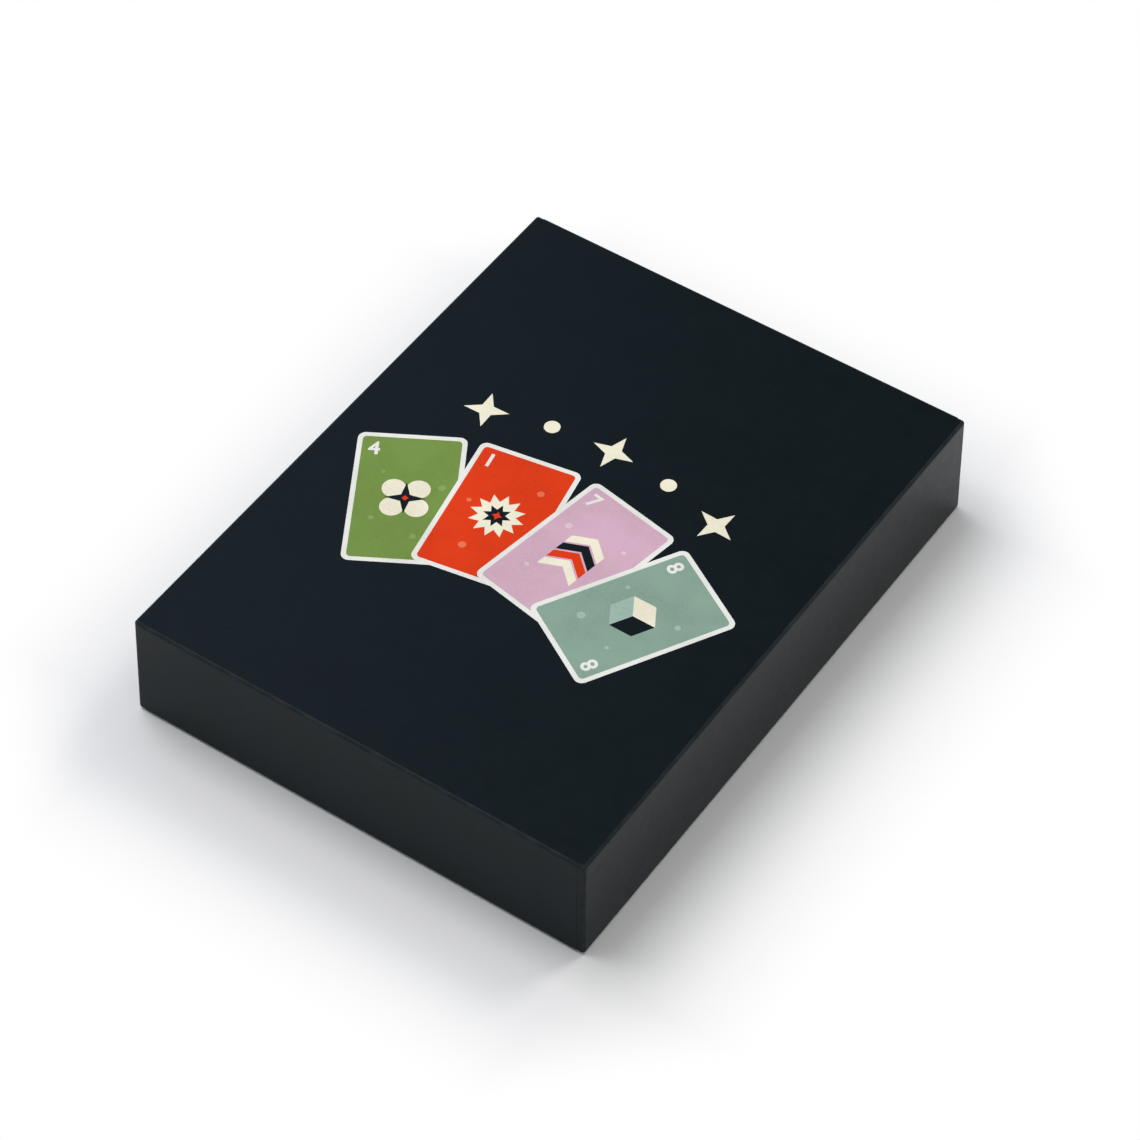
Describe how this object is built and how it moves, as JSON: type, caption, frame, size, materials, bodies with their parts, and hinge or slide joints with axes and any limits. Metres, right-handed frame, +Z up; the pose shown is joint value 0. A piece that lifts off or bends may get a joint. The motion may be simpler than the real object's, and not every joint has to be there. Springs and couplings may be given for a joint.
{
  "type": "card game",
  "caption": "Flat rigid box with a full-depth lift-off lid, holding decks of cards on both sides of a creased divider and a folded rules leaflet.",
  "frame": {"origin": "on the table, under the middle of the closed box", "axes": "+Y along the box's long side, towards the back; +X to the right, across it; +Z up, the way that the lid lifts"},
  "size_m": [0.094, 0.123, 0.023],
  "materials": {
    "printed_paper": "nearly black blue, satin laminate",
    "greyboard": "bare recycled greyboard",
    "kraft_tape": "kraft",
    "white_carton": "matt white lined carton",
    "leaflet_paper": "uncoated offset paper",
    "card_stock": "coated game card, satin varnish"
  },
  "bodies": {
    "base": {"base_board": "greyboard", "base_wrap": "printed_paper", "base_corner_stay_back_right": "kraft_tape", "base_corner_stay_back_left": "kraft_tape", "base_corner_stay_front_left": "kraft_tape", "base_corner_stay_front_right": "kraft_tape"},
    "lid": {"lid_board": "greyboard", "lid_wrap": "printed_paper", "lid_corner_stay_back_right": "kraft_tape", "lid_corner_stay_back_left": "kraft_tape", "lid_corner_stay_front_left": "kraft_tape", "lid_corner_stay_front_right": "kraft_tape"},
    "divider": {"card_divider": "white_carton"},
    "front_deck": {"front_deck_lower_cards": "card_stock", "front_deck_card_02": "card_stock", "front_deck_card_03": "card_stock", "front_deck_card_04": "card_stock", "front_deck_card_05": "card_stock", "front_deck_card_06": "card_stock", "front_deck_card_07": "card_stock", "front_deck_card_08": "card_stock", "front_deck_card_09": "card_stock", "front_deck_card_10": "card_stock", "front_deck_card_11": "card_stock", "front_deck_card_12": "card_stock", "front_deck_card_13": "card_stock", "front_deck_card_14": "card_stock", "front_deck_card_15": "card_stock", "front_deck_card_16": "card_stock", "front_deck_card_17": "card_stock", "front_deck_card_18": "card_stock", "front_deck_card_19": "card_stock", "front_deck_card_20": "card_stock", "front_deck_card_21": "card_stock"},
    "back_deck": {"back_deck_lower_cards": "card_stock", "back_deck_card_02": "card_stock", "back_deck_card_03": "card_stock", "back_deck_card_04": "card_stock", "back_deck_card_05": "card_stock", "back_deck_card_06": "card_stock", "back_deck_card_07": "card_stock", "back_deck_card_08": "card_stock", "back_deck_card_09": "card_stock", "back_deck_card_10": "card_stock", "back_deck_card_11": "card_stock", "back_deck_card_12": "card_stock", "back_deck_card_13": "card_stock", "back_deck_card_14": "card_stock", "back_deck_card_15": "card_stock", "back_deck_card_16": "card_stock", "back_deck_card_17": "card_stock", "back_deck_card_18": "card_stock", "back_deck_card_19": "card_stock", "back_deck_card_20": "card_stock", "back_deck_card_21": "card_stock"},
    "front_top_card": {"front_deck_card_01": "card_stock"},
    "back_top_card": {"back_deck_card_01": "card_stock"},
    "leaflet": {"rules_leaflet": "leaflet_paper"}
  },
  "joints": [
    {"name": "lid_lift", "type": "slide", "parent": "base", "child": "lid", "axis": [0, 0, 1], "range_m": [0, 0.12]},
    {"name": "leaflet_lift", "type": "slide", "parent": "base", "child": "leaflet", "axis": [0, 0, 1], "range_m": [0, 0.09]},
    {"name": "front_top_card_lift", "type": "slide", "parent": "base", "child": "front_top_card", "axis": [0, 0, 1], "range_m": [0, 0.072]},
    {"name": "back_top_card_lift", "type": "slide", "parent": "base", "child": "back_top_card", "axis": [0, 0, 1], "range_m": [0, 0.072]},
    {"name": "front_deck_lift", "type": "slide", "parent": "base", "child": "front_deck", "axis": [0, 0, 1], "range_m": [0, 0.048]},
    {"name": "back_deck_lift", "type": "slide", "parent": "base", "child": "back_deck", "axis": [0, 0, 1], "range_m": [0, 0.048]},
    {"name": "divider_lift", "type": "slide", "parent": "base", "child": "divider", "axis": [0, 0, 1], "range_m": [0, 0.024]}
  ],
  "couplings": [
    {"joint": "leaflet_lift", "follows": "lid_lift", "ratio": 0.75},
    {"joint": "front_top_card_lift", "follows": "lid_lift", "ratio": 0.6},
    {"joint": "back_top_card_lift", "follows": "lid_lift", "ratio": 0.6},
    {"joint": "front_deck_lift", "follows": "lid_lift", "ratio": 0.4},
    {"joint": "back_deck_lift", "follows": "lid_lift", "ratio": 0.4},
    {"joint": "divider_lift", "follows": "lid_lift", "ratio": 0.2}
  ]
}
